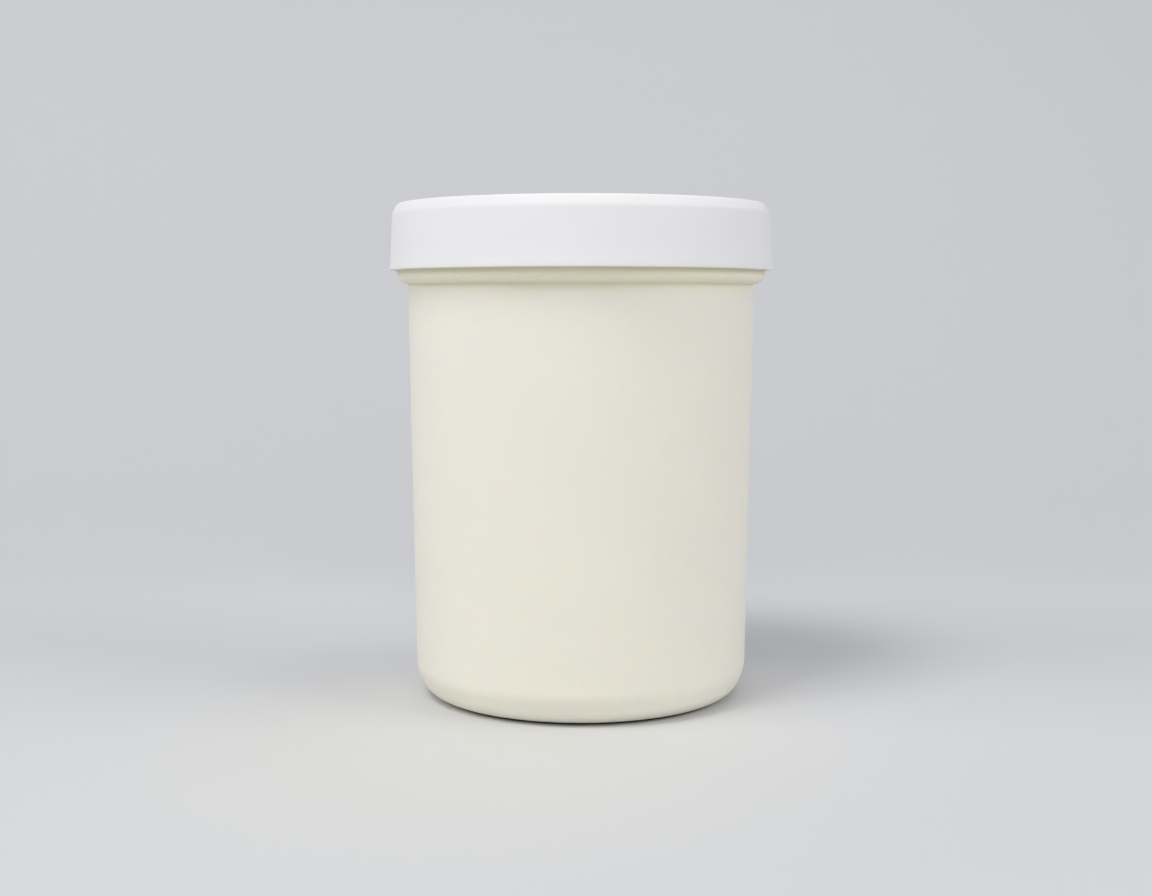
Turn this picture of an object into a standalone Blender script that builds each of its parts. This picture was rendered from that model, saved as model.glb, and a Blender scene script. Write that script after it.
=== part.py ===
# A shut plastic jar of condensed milk: a cream body that narrows towards a rounded heel,
# a collar just under the rim, and a white cap with a bevelled top edge and a slightly flared lip.
# Metres, +Z up. The origin is on the axis, at the surface the jar stands on.

import math

import bmesh
import bpy

# Driving sizes of the whole
TOTAL_HEIGHT = 0.1109
CAP_RADIUS = 0.0430
CAP_HEIGHT = 0.0147

# Body: a straight taper, from just above the heel to just under the cap
WALL_RADIUS_LOW = 0.0375
WALL_RADIUS_HIGH = 0.03903

# Heel: it rounds off the wall, slopes in and rounds off again into the underside
HEEL_TOP = 0.0081
HEEL_ROUND_RADIUS = 0.0080
HEEL_SLOPE_DEG = 23
HEEL_EDGE_RADIUS = 0.0051

# Underside: a narrow foot ring that the jar stands on, round a shallow recess
FOOT_HEIGHT = 0.00035
FOOT_OUTER_RADIUS = 0.0314
FOOT_INNER_RADIUS = 0.0280
FOOT_EDGE_RADIUS = 0.00025
RECESS_DEPTH = 0.0012
RECESS_RADIUS = 0.0262

# Collar: its upright face runs up into the cap, and rounds off generously into the underside
COLLAR_RADIUS = 0.04135
COLLAR_FACE_HEIGHT = 0.0009
COLLAR_RISE = 0.0010
COLLAR_TOP_EDGE_RADIUS = 0.0003
COLLAR_LOWER_EDGE_RADIUS = 0.0020
COLLAR_FILLET_RADIUS = 0.0003
COLLAR_SLOPE_DEG = 78

# Neck inside the cap, plain because nothing of it shows
NECK_RADIUS = 0.0401
NECK_EDGE_RADIUS = 0.0006
NECK_TO_CAP = 0.0003

# Cap: a shell whose skirt leans in a little towards a bevelled top edge
CAP_PANEL = 0.0015
CAP_LEAN_DEG = 2.3
CAP_BEVEL_RADIUS = 0.0130
CAP_BEVEL_LOW_DEG = 25
CAP_BEVEL_HIGH_DEG = 33
CAP_SHOULDER_RADIUS = 0.0020
CAP_RIM_RADIUS = 0.0006
CAP_INNER_EDGE_RADIUS = 0.0015

# Lip: the skirt flares out a little more towards it, turns upright and ends in a rounded edge
LIP_WALL = 0.0013
LIP_FLARE_DEG = 5
LIP_FLARE_RADIUS = 0.074
LIP_ROUND_RADIUS = 0.010
LIP_EDGE_RADIUS = 0.0003

# Facets round the axis, and the most that one facet of a rounded edge turns
TURN_STEPS = 80
ARC_STEP_DEG = 22.5
MERGE_DISTANCE = 0.00001

CREAM = (0.85, 0.82, 0.71, 1.0)
CREAM_ROUGHNESS = 0.45
CAP_WHITE = (0.82, 0.82, 0.83, 1.0)
CAP_ROUGHNESS = 0.66

FULL_TURN = 2 * math.pi
CAP_BOTTOM = TOTAL_HEIGHT - CAP_HEIGHT
WALL_TAPER = (WALL_RADIUS_HIGH - WALL_RADIUS_LOW) / (CAP_BOTTOM - FOOT_HEIGHT)


def clear_scene():
    for obj in list(bpy.data.objects):
        bpy.data.objects.remove(obj, do_unlink=True)


def new_collection(name):
    collection = bpy.data.collections.new(name)
    bpy.context.scene.collection.children.link(collection)
    return collection


def plastic(name, colour, roughness):
    material = bpy.data.materials.new(name)
    material.use_nodes = True
    shader = material.node_tree.nodes["Principled BSDF"]
    shader.inputs["Base Color"].default_value = colour
    shader.inputs["Roughness"].default_value = roughness
    shader.inputs["Metallic"].default_value = 0.0
    return material


def normal(angle_deg):
    """Unit vector in the plane of the profile: 90 degrees faces up, 0 faces away from the axis."""
    angle = math.radians(angle_deg)
    return math.cos(angle), math.sin(angle)


def follow(start, arcs):
    """Points along a chain of tangent arcs, each (radius, first facing, last facing) in degrees.

    A hollow arc has a radius below zero.
    """
    points = [start]
    for radius, first, last in arcs:
        origin_r = points[-1][0] - radius * normal(first)[0]
        origin_z = points[-1][1] - radius * normal(first)[1]
        steps = math.ceil(abs(last - first) / ARC_STEP_DEG)
        for step in range(1, steps + 1):
            out_r, out_z = normal(first + (last - first) * step / steps)
            points.append((origin_r + radius * out_r, origin_z + radius * out_z))
    return points


def reach(arcs):
    """How far outwards and how far down a chain of arcs leads."""
    end_r, end_z = follow((0.0, 0.0), arcs)[-1]
    return end_r, -end_z


def wall_radius(height):
    """Radius of the body's tapered wall, from the level of the heel's foot to the cap."""
    return WALL_RADIUS_LOW + WALL_TAPER * (height - FOOT_HEIGHT)


def collar_outline():
    """The ledge's edge, the collar's face, its lower edge and slope, and the fillet into the wall."""
    edge = COLLAR_TOP_EDGE_RADIUS
    ledge = (COLLAR_RADIUS - edge, CAP_BOTTOM + COLLAR_RISE)
    top_edge = follow(ledge, [(edge, 90, 0)])
    wall_facing = -math.degrees(math.atan(WALL_TAPER))
    face_end = (COLLAR_RADIUS, CAP_BOTTOM - COLLAR_FACE_HEIGHT)
    lower_edge = follow(face_end, [(COLLAR_LOWER_EDGE_RADIUS, 0, -COLLAR_SLOPE_DEG)])
    fillet_arc = [(-COLLAR_FILLET_RADIUS, -COLLAR_SLOPE_DEG, wall_facing)]
    fillet_out, fillet_down = reach(fillet_arc)
    # The slope is as long as it takes for the fillet to end on the tapered wall.
    slope_r, slope_z = lower_edge[-1]
    gap = slope_r + fillet_out - wall_radius(slope_z - fillet_down)
    along_r, along_z = normal(-COLLAR_SLOPE_DEG)
    length = gap / (-along_z - WALL_TAPER * along_r)
    fillet = follow((slope_r + length * along_z, slope_z - length * along_r), fillet_arc)
    return top_edge + lower_edge + fillet


def heel_outline():
    """The rounding below the wall, the slope, and the lower rounding down to the foot's level."""
    rounding = follow((wall_radius(HEEL_TOP), HEEL_TOP), [(HEEL_ROUND_RADIUS, 0, -HEEL_SLOPE_DEG)])
    edge_arc = [(HEEL_EDGE_RADIUS, -HEEL_SLOPE_DEG, -90)]
    slope_r, slope_z = rounding[-1]
    drop = slope_z - FOOT_HEIGHT - reach(edge_arc)[1]
    slope_end = (slope_r - drop * math.tan(math.radians(HEEL_SLOPE_DEG)), slope_z - drop)
    return rounding + follow(slope_end, edge_arc)


def foot_outline():
    """The foot ring, its two rounded edges, and the recess inside it up to the axis."""
    edge = FOOT_EDGE_RADIUS
    outer_edge = follow((FOOT_OUTER_RADIUS, edge), [(edge, 0, -90)])
    inner_edge = follow((FOOT_INNER_RADIUS + edge, 0.0), [(edge, -90, -180)])
    recess = [(RECESS_RADIUS, RECESS_DEPTH), (0.0, RECESS_DEPTH)]
    return [(FOOT_OUTER_RADIUS, FOOT_HEIGHT)] + outer_edge + inner_edge + recess


def jar_outline():
    """The whole closed jar, from the middle of its top down its outside to the middle below."""
    edge = NECK_EDGE_RADIUS
    neck_top = TOTAL_HEIGHT - CAP_PANEL - NECK_TO_CAP
    neck_edge = follow((NECK_RADIUS - edge, neck_top), [(edge, 90, 0)])
    neck = [(0.0, neck_top)] + neck_edge + [(NECK_RADIUS, CAP_BOTTOM + COLLAR_RISE)]
    return neck + collar_outline() + heel_outline() + foot_outline()


def cap_outline():
    """The cap's shell, from the middle of its top round the lip to the middle of its inside."""
    lip_arcs = [
        (-LIP_FLARE_RADIUS, CAP_LEAN_DEG, LIP_FLARE_DEG),
        (LIP_ROUND_RADIUS, LIP_FLARE_DEG, 0),
        (LIP_EDGE_RADIUS, 0, -90),
    ]
    # The skirt ends where the first two arcs lead out to the cap's radius, just above the lip's edge.
    flare_out, flare_down = reach(lip_arcs[:2])
    skirt_radius = CAP_RADIUS - flare_out
    skirt_low_z = CAP_BOTTOM + LIP_EDGE_RADIUS + flare_down
    lip = follow((skirt_radius, skirt_low_z), lip_arcs)

    edge_arcs = [
        (CAP_RIM_RADIUS, 90, CAP_BEVEL_HIGH_DEG),
        (CAP_BEVEL_RADIUS, CAP_BEVEL_HIGH_DEG, CAP_BEVEL_LOW_DEG),
        (CAP_SHOULDER_RADIUS, CAP_BEVEL_LOW_DEG, CAP_LEAN_DEG),
    ]
    edge_out, edge_down = reach(edge_arcs)
    lean = math.tan(math.radians(CAP_LEAN_DEG))
    skirt_top_z = TOTAL_HEIGHT - edge_down
    skirt_top_radius = skirt_radius - lean * (skirt_top_z - skirt_low_z)
    top_edge = follow((skirt_top_radius - edge_out, TOTAL_HEIGHT), edge_arcs)

    under_panel = TOTAL_HEIGHT - CAP_PANEL
    inner_z = under_panel - CAP_INNER_EDGE_RADIUS
    inner_low = (CAP_RADIUS - LIP_WALL, CAP_BOTTOM)
    inner_high_radius = inner_low[0] - lean * (inner_z - CAP_BOTTOM)
    inner_edge = follow((inner_high_radius, inner_z), [(-CAP_INNER_EDGE_RADIUS, -180, -90)])
    outside = [(0.0, TOTAL_HEIGHT)] + top_edge + lip
    inside = [inner_low] + inner_edge + [(0.0, under_panel)]
    return outside + inside


def turned(name, outline, material, collection):
    """A solid of revolution: the outline as a chain of edges, turned about Z by a Screw."""
    mesh = bpy.data.meshes.new(name)
    chain = bmesh.new()
    corners = [chain.verts.new((radius, 0.0, height)) for radius, height in outline]
    for start, end in zip(corners, corners[1:]):
        chain.edges.new((start, end))
    chain.to_mesh(mesh)
    chain.free()
    mesh.materials.append(material)
    obj = bpy.data.objects.new(name, mesh)
    collection.objects.link(obj)
    turn = obj.modifiers.new("Turn", "SCREW")
    turn.axis = "Z"
    turn.angle = FULL_TURN
    turn.steps = TURN_STEPS
    turn.render_steps = TURN_STEPS
    turn.use_merge_vertices = True
    turn.merge_threshold = MERGE_DISTANCE
    turn.use_smooth_shade = True
    return obj


def main():
    clear_scene()
    parts = new_collection("condensed_milk_jar")
    turned("jar", jar_outline(), plastic("cream_plastic", CREAM, CREAM_ROUGHNESS), parts)
    turned("lid", cap_outline(), plastic("white_plastic", CAP_WHITE, CAP_ROUGHNESS), parts)


main()
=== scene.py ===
# Shut plastic jar of condensed milk: fine turned surfaces for the cream body and the white cap,
# their moulded plastic, and a plain pale sweep under soft studio light. Metres, degrees, Z up.
import math

import bpy
import numpy as np
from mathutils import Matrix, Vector


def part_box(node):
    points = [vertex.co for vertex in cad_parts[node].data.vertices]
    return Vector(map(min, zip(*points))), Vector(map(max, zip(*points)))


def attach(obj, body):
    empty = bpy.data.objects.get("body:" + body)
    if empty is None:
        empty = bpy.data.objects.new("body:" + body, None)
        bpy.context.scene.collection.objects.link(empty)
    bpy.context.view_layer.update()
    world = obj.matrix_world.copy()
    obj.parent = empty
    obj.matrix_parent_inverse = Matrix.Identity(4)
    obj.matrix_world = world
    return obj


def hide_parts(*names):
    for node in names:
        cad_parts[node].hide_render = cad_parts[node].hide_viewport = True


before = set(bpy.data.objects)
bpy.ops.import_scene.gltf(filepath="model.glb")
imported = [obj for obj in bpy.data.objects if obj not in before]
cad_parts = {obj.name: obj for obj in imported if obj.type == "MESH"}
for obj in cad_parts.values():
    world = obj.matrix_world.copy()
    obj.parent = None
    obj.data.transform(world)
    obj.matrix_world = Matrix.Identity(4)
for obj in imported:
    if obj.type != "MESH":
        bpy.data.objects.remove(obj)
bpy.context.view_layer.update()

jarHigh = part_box("jar")[1]
capLow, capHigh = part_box("lid")
millimetres = 1000
print("frame: cap", round(2 * capHigh.x * millimetres, 1), "mm across,",
      "whole", round(capHigh.z * millimetres, 1), "mm tall")


# outlines: every outline is rows of (distance from the axis, height), from the top down the outside

def facing(deg):
    # unit vector in the plane of the outline: 90 faces up, 0 away from the axis
    return np.array([math.cos(math.radians(deg)), math.sin(math.radians(deg))])


def arcRun(start, arcs):
    # tangent arcs from a start point, each (radius, first facing, last facing, steps): a point is
    # start + radius * (facing now - facing first), and a hollow arc has a radius below zero
    rows = [np.array([start], dtype=float)]
    for radius, first, last, steps in arcs:
        angle = np.radians(np.linspace(first, last, steps + 1)[1:])
        turned = np.column_stack([np.cos(angle), np.sin(angle)]) - facing(first)
        rows.append(rows[-1][-1] + radius * turned)
    return np.concatenate(rows)


def reach(arcs):
    # how far out and how far up a chain of arcs leads
    return arcRun((0, 0), arcs)[-1]


def straightRun(start, end, count):
    # inner points of a straight line, crowded towards both ends by a cosine, which shades it flat
    along = (1 - np.cos(np.linspace(0, math.pi, count + 2)[1:-1])) / 2
    start = np.array(start)
    return start + along[:, None] * (np.array(end) - start)


def joinRuns(runs, fill):
    # runs one after another, the gap between two of them filled by a straight of the stated count
    rows = [runs[0]]
    for last, run, count in zip(runs, runs[1:], fill):
        rows += [straightRun(last[-1], run[0], count), run]
    return np.concatenate(rows)


# turned meshes

def turnOutline(outline, around, swell):
    # x, y, z = (r + swell) cos a, (r + swell) sin a, z, for every outline row and every angle a
    angle = np.arange(around) * (2 * math.pi / around)
    radius, height = outline[1:-1, 0, None], outline[1:-1, 1, None]
    radius = radius + swell(angle[None, :], height)
    ring = np.stack([radius * np.cos(angle), radius * np.sin(angle), height + 0 * angle], axis=-1)
    ends = np.array([[0, 0, outline[0, 1]], [0, 0, outline[-1, 1]]])
    return np.concatenate([ring.reshape(-1, 3), ends])


def paintRings(mesh, outline, around, tone):
    # colour attribute of painted light and shade: tone(height) of an outline row, the same all
    # round its ring, and at the end the tones of the two poles
    rows = np.column_stack([tone(outline[:, 1]), np.ones(len(outline))])
    values = np.concatenate([np.repeat(rows[1:-1], around, axis=0), rows[[0, -1]]])
    layer = mesh.attributes.new("paintedLightShade", "FLOAT_COLOR", "POINT")
    layer.data.foreach_set("color", values.ravel())


def turnedMesh(name, outline, around, swell, tone):
    # quads between neighbouring rings, and a fan of triangles to the pole on the axis at each end
    points = turnOutline(outline, around, swell)
    rings = len(outline) - 2
    row, column = np.arange(rings - 1)[:, None] * around, np.arange(around)[None, :]
    after = (column + 1) % around
    below = row + around
    quads = np.stack([row + column, below + column, below + after, row + after], axis=-1)
    column, after = column[0], after[0]
    topPole, lowPole = rings * around + 0 * column, rings * around + 1 + 0 * column
    lastRing = (rings - 1) * around
    topFan = np.column_stack([topPole, column, after])
    lowFan = np.column_stack([lowPole, lastRing + after, lastRing + column])
    fans = np.concatenate([topFan, lowFan])
    corners = np.concatenate([quads.ravel(), fans.ravel()]).astype(np.int32)
    sizes = np.concatenate([np.full(quads[..., 0].size, 4), np.full(len(fans), 3)])
    starts = np.concatenate([[0], np.cumsum(sizes)[:-1]]).astype(np.int32)
    mesh = bpy.data.meshes.new(name)
    mesh.vertices.add(len(points))
    mesh.vertices.foreach_set("co", points.ravel())
    mesh.loops.add(len(corners))
    mesh.loops.foreach_set("vertex_index", corners)
    mesh.polygons.add(len(sizes))
    mesh.polygons.foreach_set("loop_start", starts)
    mesh.polygons.foreach_set("use_smooth", np.ones(len(sizes), dtype=bool))
    mesh.update(calc_edges=True)
    paintRings(mesh, outline, around, tone)
    return mesh


def smoothStep(value, start, end):
    # 3t^2 - 2t^3 with t running from 0 at start to 1 at end
    t = np.clip((value - start) / (end - start), 0, 1)
    return t * t * (3 - 2 * t)


def toneOf(amount, tint):
    # 1 + amount * (tint - 1), a factor on the plastic's colour for every outline row
    return 1 + amount[:, None] * (np.array(tint) - 1)


def addPiece(name, mesh, material, node):
    # the mesh in the scene as a piece that rides on the one CAD body and stands for a CAD node
    piece = bpy.data.objects.new(name, mesh)
    bpy.context.scene.collection.objects.link(piece)
    mesh.materials.append(material)
    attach(piece, "root")
    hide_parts(node)
    print("piece:", name, len(mesh.polygons), "faces")


# nodes, and the moulded plastic of both pieces

def mixedColour(tree, blend, factor, first, second):
    # first and second blended by factor, each of the three another node's output or a plain value
    mix = tree.nodes.new("ShaderNodeMix")
    mix.data_type = "RGBA"
    mix.blend_type = blend
    for name, source in {"Factor": factor, "A": first, "B": second}.items():
        if isinstance(source, bpy.types.NodeSocket):
            tree.links.new(source, mix.inputs[name])
        else:
            mix.inputs[name].default_value = source
    return mix.outputs["Result"]


def mappedSpan(tree, value, fromSpan, toSpan, way):
    # value carried from one span to the other, straight or by a smooth step, and held at its ends
    span = tree.nodes.new("ShaderNodeMapRange")
    span.interpolation_type = way
    span.inputs["From Min"].default_value, span.inputs["From Max"].default_value = fromSpan
    span.inputs["To Min"].default_value, span.inputs["To Max"].default_value = toSpan
    tree.links.new(value, span.inputs["Value"])
    return span.outputs["Result"]


mould = {
    "driftNoise": (45, 3),    # scale and detail of the noise that the colour drifts by
    "roughNoise": (120, 4),   # and of the one that the roughness does
    "roughFrom": (0.3, 0.7),  # the part of that noise which spans the whole of the roughness
    "grainNoise": (2600, 2),
    "grainStrength": 0.25,
    "grainHeight": 0.00002,
}


def mouldedPlastic(name, look):
    # colour = painted light and shade of the rings * (low to high by a slow noise), roughness by a
    # quicker noise, and a very fine noise as bump for the mould's grain
    material = bpy.data.materials.new(name)
    material.use_nodes = True
    tree = material.node_tree
    shader = tree.nodes["Principled BSDF"]
    place = tree.nodes.new("ShaderNodeTexCoord")

    def noise(scale, detail):
        node = tree.nodes.new("ShaderNodeTexNoise")
        node.inputs["Scale"].default_value = scale
        node.inputs["Detail"].default_value = detail
        tree.links.new(place.outputs["Object"], node.inputs["Vector"])
        return node.outputs["Fac"]

    for socket, value in look["depth"].items():
        shader.inputs[socket].default_value = value
    # the rings' painted light and shade
    paintedLightShade = tree.nodes.new("ShaderNodeAttribute")
    paintedLightShade.attribute_name = "paintedLightShade"
    drift = mixedColour(tree, "MIX", noise(*mould["driftNoise"]), look["low"], look["high"])
    colour = mixedColour(tree, "MULTIPLY", 1, drift, paintedLightShade.outputs["Color"])
    tree.links.new(colour, shader.inputs["Base Color"])
    uneven = noise(*mould["roughNoise"])
    rough = mappedSpan(tree, uneven, mould["roughFrom"], look["rough"], "LINEAR")
    tree.links.new(rough, shader.inputs["Roughness"])
    grain = tree.nodes.new("ShaderNodeBump")
    grain.inputs["Strength"].default_value = mould["grainStrength"]
    grain.inputs["Distance"].default_value = mould["grainHeight"]
    tree.links.new(noise(*mould["grainNoise"]), grain.inputs["Height"])
    tree.links.new(grain.outputs["Normal"], shader.inputs["Normal"])
    return material


# body of the jar

jar = {
    "wallLow": 0.0375,        # radius the wall's taper would have at the foot
    "wallHigh": 0.03903,      # and at the level of the cap's lip
    "heelTop": 0.0081,        # where the heel leaves the wall
    "heelRound": 0.0080,
    "heelSlope": 23,          # below its rounding it faces down by this
    "heelEdge": 0.0051,
    "footLift": 0.00035,      # the heel's lower edge stands this much clear of the surface
    "footOuter": 0.0314,
    "footInner": 0.0280,
    "footEdge": 0.00025,
    "recess": 0.0262,
    "recessDeep": 0.0012,
    "collarFace": 0.0009,     # height of the collar's upright face, below the cap
    "collarRise": 0.0010,     # and inside it
    "collarTopEdge": 0.0003,
    "collarLowEdge": 0.0020,  # the face rounds off generously into the underside
    "collarFillet": 0.0003,
    "collarSlope": 78,        # the underside faces down by this
    "neck": 0.0401,
    "neckEdge": 0.0006,
    # points round the axis, steps along the roundings, and points in the straights
    "around": 320,
    "smallSteps": 6,          # of the neck's, ledge's and foot's edges
    "collarLowSteps": 16,
    "collarFilletSteps": 10,
    "heelRoundSteps": 12,
    "heelEdgeSteps": 14,
    "collarSlopeFill": 6,
    "heelSlopeFill": 8,
    "fill": [8, 8, 3, 6, 60, 4, 4, 4, 10],
    # slow swell of the wall between two heights: waves of strength, turns, rise and shift
    "swell": 0.000015,
    "swellLow": 0.012,
    "swellHigh": 0.082,
    "waves": [(1.0, 2, 0, 0.7), (0.6, 3, 60, 1.9), (0.5, -1, 90, 0.0)],
    # plastic: its two colours, its span of roughness, and how deep light travels into it, by colour
    "low": (0.852, 0.829, 0.733, 1),
    "high": (0.884, 0.861, 0.768, 1),
    "rough": (0.40, 0.50),
    "depth": {
        "Subsurface Weight": 0.6,
        "Subsurface Scale": 0.002,
        "Subsurface Radius": (1.0, 0.9, 0.3),
    },
    # painted shade in the collar's crease and under the cap's lip, and painted bounce light on the
    # heel, as tones of the plastic
    "creaseShadeTint": (1.0, 0.955, 0.71),
    "shadeUnderLip": 0.6,          # the painted shade is strongest right under the cap's lip
    "lipShadeReach": 0.0007,
    "shadeOnCollar": 0.4,          # and weaker over the whole collar, down to just below its crease
    "creaseShadeFull": 0.0036,     # how far below the lip it is still whole, and where it has gone
    "creaseShadeGone": 0.0054,
    "heelLightTint": (1.05, 1.05, 1.04),
    "heelLightFull": 0.0030,       # the heel is painted a little lighter, as bounce light from the floor, and this fades up to the wall
    "heelLightGone": 0.0100,
}


def wallTaper():
    # what the wall's radius gains for each metre of height
    return (jar["wallHigh"] - jar["wallLow"]) / (capLow.z - jar["footLift"])


def wallRadius(z):
    # low radius + taper * height above the foot's level
    return jar["wallLow"] + wallTaper() * (z - jar["footLift"])


def collarRun():
    # lower edge, fillet into the wall, and between them a straight slope of the length that makes
    # the fillet end on the wall: length = gap to the wall / what a metre of slope closes of it
    slope = jar["collarSlope"]
    wallFacing = -math.degrees(math.atan(wallTaper()))
    lowArc = [(jar["collarLowEdge"], 0, -slope, jar["collarLowSteps"])]
    filletArc = [(-jar["collarFillet"], -slope, wallFacing, jar["collarFilletSteps"])]
    lowEdge = arcRun((jarHigh.x, capLow.z - jar["collarFace"]), lowArc)
    filletOut, filletUp = reach(filletArc)
    slopeR, slopeZ = lowEdge[-1]
    gap = slopeR + filletOut - wallRadius(slopeZ + filletUp)
    outwards, upwards = facing(-slope)
    length = gap / (-upwards - wallTaper() * outwards)
    filletStart = lowEdge[-1] + length * np.array([upwards, -outwards])
    return joinRuns([lowEdge, arcRun(filletStart, filletArc)], [jar["collarSlopeFill"]])


def heelRun():
    # upper rounding, a straight slope down to the lower edge, and that edge's rounding underneath
    slope = jar["heelSlope"]
    upperArc = [(jar["heelRound"], 0, -slope, jar["heelRoundSteps"])]
    edgeArc = [(jar["heelEdge"], -slope, -90, jar["heelEdgeSteps"])]
    upper = arcRun((wallRadius(jar["heelTop"]), jar["heelTop"]), upperArc)
    slopeDown = upper[-1, 1] - (jar["footLift"] - reach(edgeArc)[1])
    inwards = slopeDown * math.tan(math.radians(slope))
    lower = arcRun(upper[-1] - [inwards, slopeDown], edgeArc)
    return joinRuns([upper, lower], [jar["heelSlopeFill"]])


def jarOutline():
    # neck, ledge, collar, wall, heel, foot ring and recess, each an arc or a straight, joined up
    steps = jar["smallSteps"]
    edge = jar["neckEdge"]
    neckRun = arcRun((jar["neck"] - edge, jarHigh.z), [(edge, 90, 0, steps)])
    ledge = capLow.z + jar["collarRise"]
    ledgeRun = np.array([[jar["neck"], ledge]])
    edge = jar["collarTopEdge"]
    topRun = arcRun((jarHigh.x - edge, ledge), [(edge, 90, 0, steps)])
    edge = jar["footEdge"]
    footStart = np.array([[jar["footOuter"], jar["footLift"]]])
    footEdge = arcRun((jar["footOuter"], edge), [(edge, 0, -90, steps)])
    footOut = np.concatenate([footStart, footEdge])
    footIn = arcRun((jar["footInner"] + edge, 0), [(edge, -90, -180, steps)])
    recessRun = np.array([[jar["recess"], jar["recessDeep"]]])
    start, end = np.array([[0, jarHigh.z]]), np.array([[0, jar["recessDeep"]]])
    upperRuns = [start, neckRun, ledgeRun, topRun, collarRun()]
    lowerRuns = [heelRun(), footOut, footIn, recessRun, end]
    return joinRuns(upperRuns + lowerRuns, jar["fill"])


def wallSwell(angle, height):
    # swell * 4 l (1 - l) * sum of strength * sin(turns * angle + rise * height + shift), with l
    # running from 0 at the low height to 1 at the high one
    level = (height - jar["swellLow"]) / (jar["swellHigh"] - jar["swellLow"])
    window = np.clip(level * (1 - level) * 4, 0, 1)
    wave = 0
    for strength, turns, rise, shift in jar["waves"]:
        wave = wave + strength * np.sin(turns * angle + rise * height + shift)
    return jar["swell"] * window * wave


def jarLightAndShade(height):
    # painted shade in the creases and painted bounce light on the heel: with d below the lip, the
    # shade's amount is under-lip strength * exp(-(d / its reach)^2) + collar strength * (1 - smooth
    # step of d), and the heel light's is 1 - smooth step of the height
    below = np.maximum(capLow.z - height, 0)
    collar = 1 - smoothStep(below, jar["creaseShadeFull"], jar["creaseShadeGone"])
    crease = jar["shadeUnderLip"] * np.exp(-(below / jar["lipShadeReach"]) ** 2) + jar["shadeOnCollar"] * collar
    heel = 1 - smoothStep(height, jar["heelLightFull"], jar["heelLightGone"])
    return toneOf(crease, jar["creaseShadeTint"]) * toneOf(heel, jar["heelLightTint"])


print("building the jar's body")
jarMesh = turnedMesh("jarBody", jarOutline(), jar["around"], wallSwell, jarLightAndShade)
addPiece("jarBody", jarMesh, mouldedPlastic("creamPlastic", jar), "jar")


# cap

cap = {
    "panel": 0.0015,
    "lipWall": 0.0013,
    "lean": 2.3,              # the skirt leans in by this towards the top
    "rim": 0.0006,            # top edge: a crisp rim, a slightly round bevel and a soft shoulder
    "bevel": 0.0130,
    "bevelHigh": 33,
    "bevelLow": 25,
    "shoulder": 0.0020,
    "flare": 5,               # the skirt flares out a little more towards the lip
    "flareRadius": 0.074,
    "lipRound": 0.010,        # and the lip turns upright again
    "lipEdge": 0.0003,
    "innerEdge": 0.0015,
    # points round the axis, steps along the roundings, and points in the straights
    "around": 320,
    "rimSteps": 10,
    "bevelSteps": 8,
    "shoulderSteps": 12,
    "flareSteps": 8,
    "lipRoundSteps": 8,
    "lipEdgeSteps": 7,
    "innerSteps": 8,
    "fill": [24, 16, 0, 3, 10, 8],
    # plastic
    "low": (0.811, 0.811, 0.817, 1),
    "high": (0.836, 0.836, 0.842, 1),
    "rough": (0.60, 0.72),
    "depth": {"Subsurface Weight": 0.0},
    # painted shade on the bevel, which faces up into the lamps, as a darker tone of the plastic
    "bevelShadeTint": (0.965, 0.965, 0.965),
    "rimDown": 0.0004,        # it sets in over this much below the top
    "bevelDown": 0.0018,      # and goes again between these two
    "skirtDown": 0.0026,
}


def capOutline():
    # top, edge, skirt, flare and lip, then up inside to the middle under the panel. The flare ends
    # at the lip, and the skirt's radius = its foot's - tan(lean) * height above the foot
    flareArcs = [
        (-cap["flareRadius"], cap["lean"], cap["flare"], cap["flareSteps"]),
        (cap["lipRound"], cap["flare"], 0, cap["lipRoundSteps"]),
    ]
    flareOut, flareUp = reach(flareArcs)
    skirt, skirtLow = capHigh.x - flareOut, capLow.z + cap["lipEdge"] - flareUp
    flareRun = arcRun((skirt, skirtLow), flareArcs)
    lipArc = [(cap["lipEdge"], 0, -90, cap["lipEdgeSteps"])]
    lipRun = arcRun((capHigh.x, capLow.z + cap["lipEdge"]), lipArc)
    edgeArcs = [
        (cap["rim"], 90, cap["bevelHigh"], cap["rimSteps"]),
        (cap["bevel"], cap["bevelHigh"], cap["bevelLow"], cap["bevelSteps"]),
        (cap["shoulder"], cap["bevelLow"], cap["lean"], cap["shoulderSteps"]),
    ]
    edgeOut, edgeUp = reach(edgeArcs)
    lean = math.tan(math.radians(cap["lean"]))
    skirtTop = skirt - lean * (capHigh.z + edgeUp - skirtLow)
    topRun = arcRun((skirtTop - edgeOut, capHigh.z), edgeArcs)
    underPanel = capHigh.z - cap["panel"]
    innerZ = underPanel - cap["innerEdge"]
    innerLow = np.array([[capHigh.x - cap["lipWall"], capLow.z]])
    innerHigh = innerLow[0, 0] - lean * (innerZ - capLow.z)
    innerRun = arcRun((innerHigh, innerZ), [(-cap["innerEdge"], -180, -90, cap["innerSteps"])])
    start, end = np.array([[0, capHigh.z]]), np.array([[0, underPanel]])
    return joinRuns([start, topRun, flareRun, lipRun[1:], innerLow, innerRun, end], cap["fill"])


def noSwell(angle, height):
    # 0 everywhere: the cap is thick enough to stay round
    return 0 * angle + 0 * height


def capBevelShade(height):
    # painted shade on the bevel: with d below the top, its amount is smooth step of d to rimDown *
    # (1 - smooth step of d from bevelDown to skirtDown)
    below = capHigh.z - height
    setIn = smoothStep(below, 0, cap["rimDown"])
    bevel = setIn * (1 - smoothStep(below, cap["bevelDown"], cap["skirtDown"]))
    return toneOf(bevel, cap["bevelShadeTint"])


print("building the cap")
capMesh = turnedMesh("capShell", capOutline(), cap["around"], noSwell, capBevelShade)
addPiece("capShell", capMesh, mouldedPlastic("whitePlastic", cap), "lid")


# sweep: a level floor that turns up into the backdrop

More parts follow.
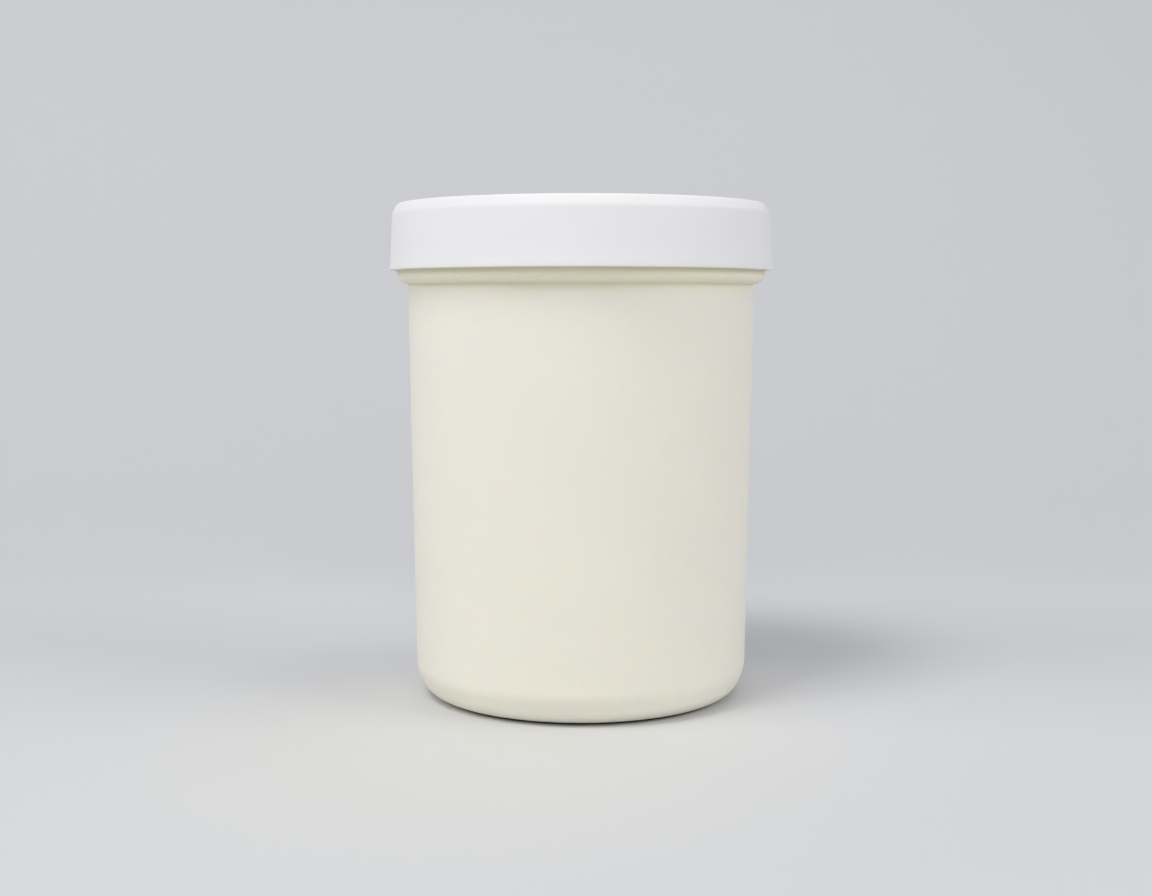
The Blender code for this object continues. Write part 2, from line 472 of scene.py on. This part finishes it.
sweep = {
    "front": -1.6,
    "bend": 0.16,             # where the floor starts to rise, behind the jar
    "radius": 0.60,
    "top": 2.2,
    "half": 2.4,
    # points along the bend and from side to side, and in the level and the upright straight
    "bendCount": 60,
    "across": 41,
    "fill": [40, 20],
    "colour": (0.593, 0.599, 0.621, 1),
    "roughness": 0.9,
    "specular": 0.1,
    # painted light and shade: the card's tone by distance behind the jar's axis
    "lightShadeBands": [(0.05, 1.0), (0.12, 1.015), (0.18, 0.97), (0.27, 0.96), (0.60, 1.0)],
    # round patches of painted light and shade that multiply the colour: middle, whole within, gone
    # beyond, tint
    "paintedPatches": [
        ((-0.020, -0.050, 0), 0, 0.11, (1.093, 1.080, 1.014, 1)),   # painted pool of warm bounce light in front of the jar
        ((0.050, 0.052, 0), 0, 0.05, (0.92, 0.92, 0.93, 1)),        # painted shadow that deepens its two shadows
        ((-0.052, 0.022, 0), 0, 0.04, (0.93, 0.93, 0.94, 1)),
        ((0, 0, 0), 0.0313, 0.0327, (0.05, 0.05, 0.04, 1)),         # hardly any light under it
    ],
}


def paleCard():
    # colour * painted light and shade of the band * the painted tint of each patch, as far as a
    # smooth step lets it reach
    card = bpy.data.materials.new("paleCard")
    card.use_nodes = True
    tree = card.node_tree
    shader = tree.nodes["Principled BSDF"]
    shader.inputs["Roughness"].default_value = sweep["roughness"]
    shader.inputs["Specular IOR Level"].default_value = sweep["specular"]
    place = tree.nodes.new("ShaderNodeTexCoord")
    split = tree.nodes.new("ShaderNodeSeparateXYZ")
    tree.links.new(place.outputs["Object"], split.inputs["Vector"])
    ramp = tree.nodes.new("ShaderNodeValToRGB")
    tree.links.new(split.outputs["Y"], ramp.inputs["Fac"])
    stops = ramp.color_ramp.elements
    while len(stops) < len(sweep["lightShadeBands"]):
        stops.new(1)
    for stop, (behind, grey) in zip(stops, sweep["lightShadeBands"]):
        stop.position = behind
        stop.color = (grey, grey, grey, 1)
    tone = mixedColour(tree, "MULTIPLY", 1, ramp.outputs["Color"], sweep["colour"])
    for middle, whole, gone, tint in sweep["paintedPatches"]:
        away = tree.nodes.new("ShaderNodeVectorMath")
        away.operation = "DISTANCE"
        away.inputs[1].default_value = middle
        tree.links.new(place.outputs["Object"], away.inputs[0])
        near = mappedSpan(tree, away.outputs["Value"], (whole, gone), (1, 0), "SMOOTHSTEP")
        tone = mixedColour(tree, "MULTIPLY", near, tone, tint)
    tree.links.new(tone, shader.inputs["Base Color"])
    return card


def buildSweep():
    # a row of points from front to top (level, quarter circle, upright), carried sideways
    angle = np.linspace(-math.pi / 2, 0, sweep["bendCount"])
    wall = sweep["bend"] + sweep["radius"]
    bendY = sweep["bend"] + sweep["radius"] * np.cos(angle)
    bendZ = sweep["radius"] * (1 + np.sin(angle))
    runs = [
        np.array([[sweep["front"], 0.0]]),
        np.column_stack([bendY, bendZ]),
        np.array([[wall, sweep["top"]]]),
    ]
    outline = joinRuns(runs, sweep["fill"])
    across = sweep["across"]
    side = np.linspace(-sweep["half"], sweep["half"], across)
    grid = np.broadcast_arrays(side[None, :], outline[:, :1], outline[:, 1:])
    points = np.stack(grid, axis=-1).reshape(-1, 3)
    corner = np.arange(len(outline) - 1)[:, None] * across + np.arange(across - 1)[None, :]
    quads = np.stack([corner, corner + 1, corner + across + 1, corner + across], axis=-1)
    mesh = bpy.data.meshes.new("sweep")
    mesh.from_pydata(points.tolist(), [], quads.reshape(-1, 4).tolist())
    mesh.polygons.foreach_set("use_smooth", np.ones(len(mesh.polygons), dtype=bool))
    mesh.materials.append(paleCard())
    floor = bpy.data.objects.new("sweep", mesh)
    bpy.context.scene.collection.objects.link(floor)


# lights: square softboxes, each "around" degrees from the front (right is positive), "up" above
# level and "away" from the middle of the jar

softboxes = {
    "keyHigh": {"around": -40, "up": 62, "away": 1.2, "size": 0.35, "watts": 4.0},
    "key": {"around": -40, "up": 48, "away": 1.2, "size": 0.35, "watts": 1.4},
    "left": {"around": -60, "up": 32, "away": 1.2, "size": 0.35, "watts": 1.8},
    "leftBand": {"around": -80, "up": 32, "away": 1.2, "size": 0.35, "watts": 1.6},
    "front": {"around": 0, "up": 40, "away": 1.2, "size": 0.7, "watts": 2.3},
    "frontLow": {"around": 0, "up": 12, "away": 1.2, "size": 0.7, "watts": 0.9},
    "right": {"around": 60, "up": 30, "away": 1.2, "size": 0.35, "watts": 2.3},
    "rightBand": {"around": 80, "up": 30, "away": 1.2, "size": 0.35, "watts": 1.9},
    "backLeft": {"around": -135, "up": 32, "away": 0.9, "size": 0.5, "watts": 0.4},
    "backRight": {"around": 120, "up": 60, "away": 0.9, "size": 0.5, "watts": 0.9},
    "backHigh": {"around": 180, "up": 52, "away": 0.9, "size": 0.5, "watts": 0.3},
}
lightAim = (0, 0, 0.055)
worldLight = {"colour": (1.0, 1.0, 1.0, 1), "strength": 0.25}


def hangSoftbox(name, box):
    # place = aim + away * (sin around * cos up, -cos around * cos up, sin up), turned to the aim
    around, up = math.radians(box["around"]), math.radians(box["up"])
    way = Vector((math.sin(around) * math.cos(up), -math.cos(around) * math.cos(up), math.sin(up)))
    lamp = bpy.data.lights.new(name, "AREA")
    lamp.shape = "SQUARE"
    lamp.size = box["size"]
    lamp.energy = box["watts"]
    holder = bpy.data.objects.new(name, lamp)
    holder.location = Vector(lightAim) + box["away"] * way
    holder.rotation_euler = (-way).to_track_quat("-Z", "Y").to_euler()
    bpy.context.scene.collection.objects.link(holder)


def lightTheWorld():
    # the same soft white from everywhere
    world = bpy.data.worlds.new("studioAir")
    world.use_nodes = True
    glow = world.node_tree.nodes["Background"]
    glow.inputs["Color"].default_value = worldLight["colour"]
    glow.inputs["Strength"].default_value = worldLight["strength"]
    bpy.context.scene.world = world


# camera: just under the cap's level, tilted down a little

cameraSet = {
    "aside": -0.00111,
    "away": 0.3684,
    "up": 0.08865,
    "tilt": 5.07,
    "lens": 50.54,            # millimetres, on a sensor of this width
    "sensor": 36,
    "clip": (0.01, 20),
}


def setCamera():
    # in front of the jar at (aside, -away, up), upright and looking along +Y before the tilt
    data = bpy.data.cameras.new("camera")
    data.sensor_width = cameraSet["sensor"]
    data.lens = cameraSet["lens"]
    data.clip_start, data.clip_end = cameraSet["clip"]
    camera = bpy.data.objects.new("camera", data)
    camera.location = (cameraSet["aside"], -cameraSet["away"], cameraSet["up"])
    camera.rotation_euler = (math.radians(90 - cameraSet["tilt"]), 0, 0)
    bpy.context.scene.collection.objects.link(camera)
    bpy.context.scene.camera = camera


print("building the studio")
buildSweep()
for name, box in softboxes.items():
    hangSoftbox(name, box)
lightTheWorld()
setCamera()
bpy.context.scene.view_settings.view_transform = "Standard"

print("done")
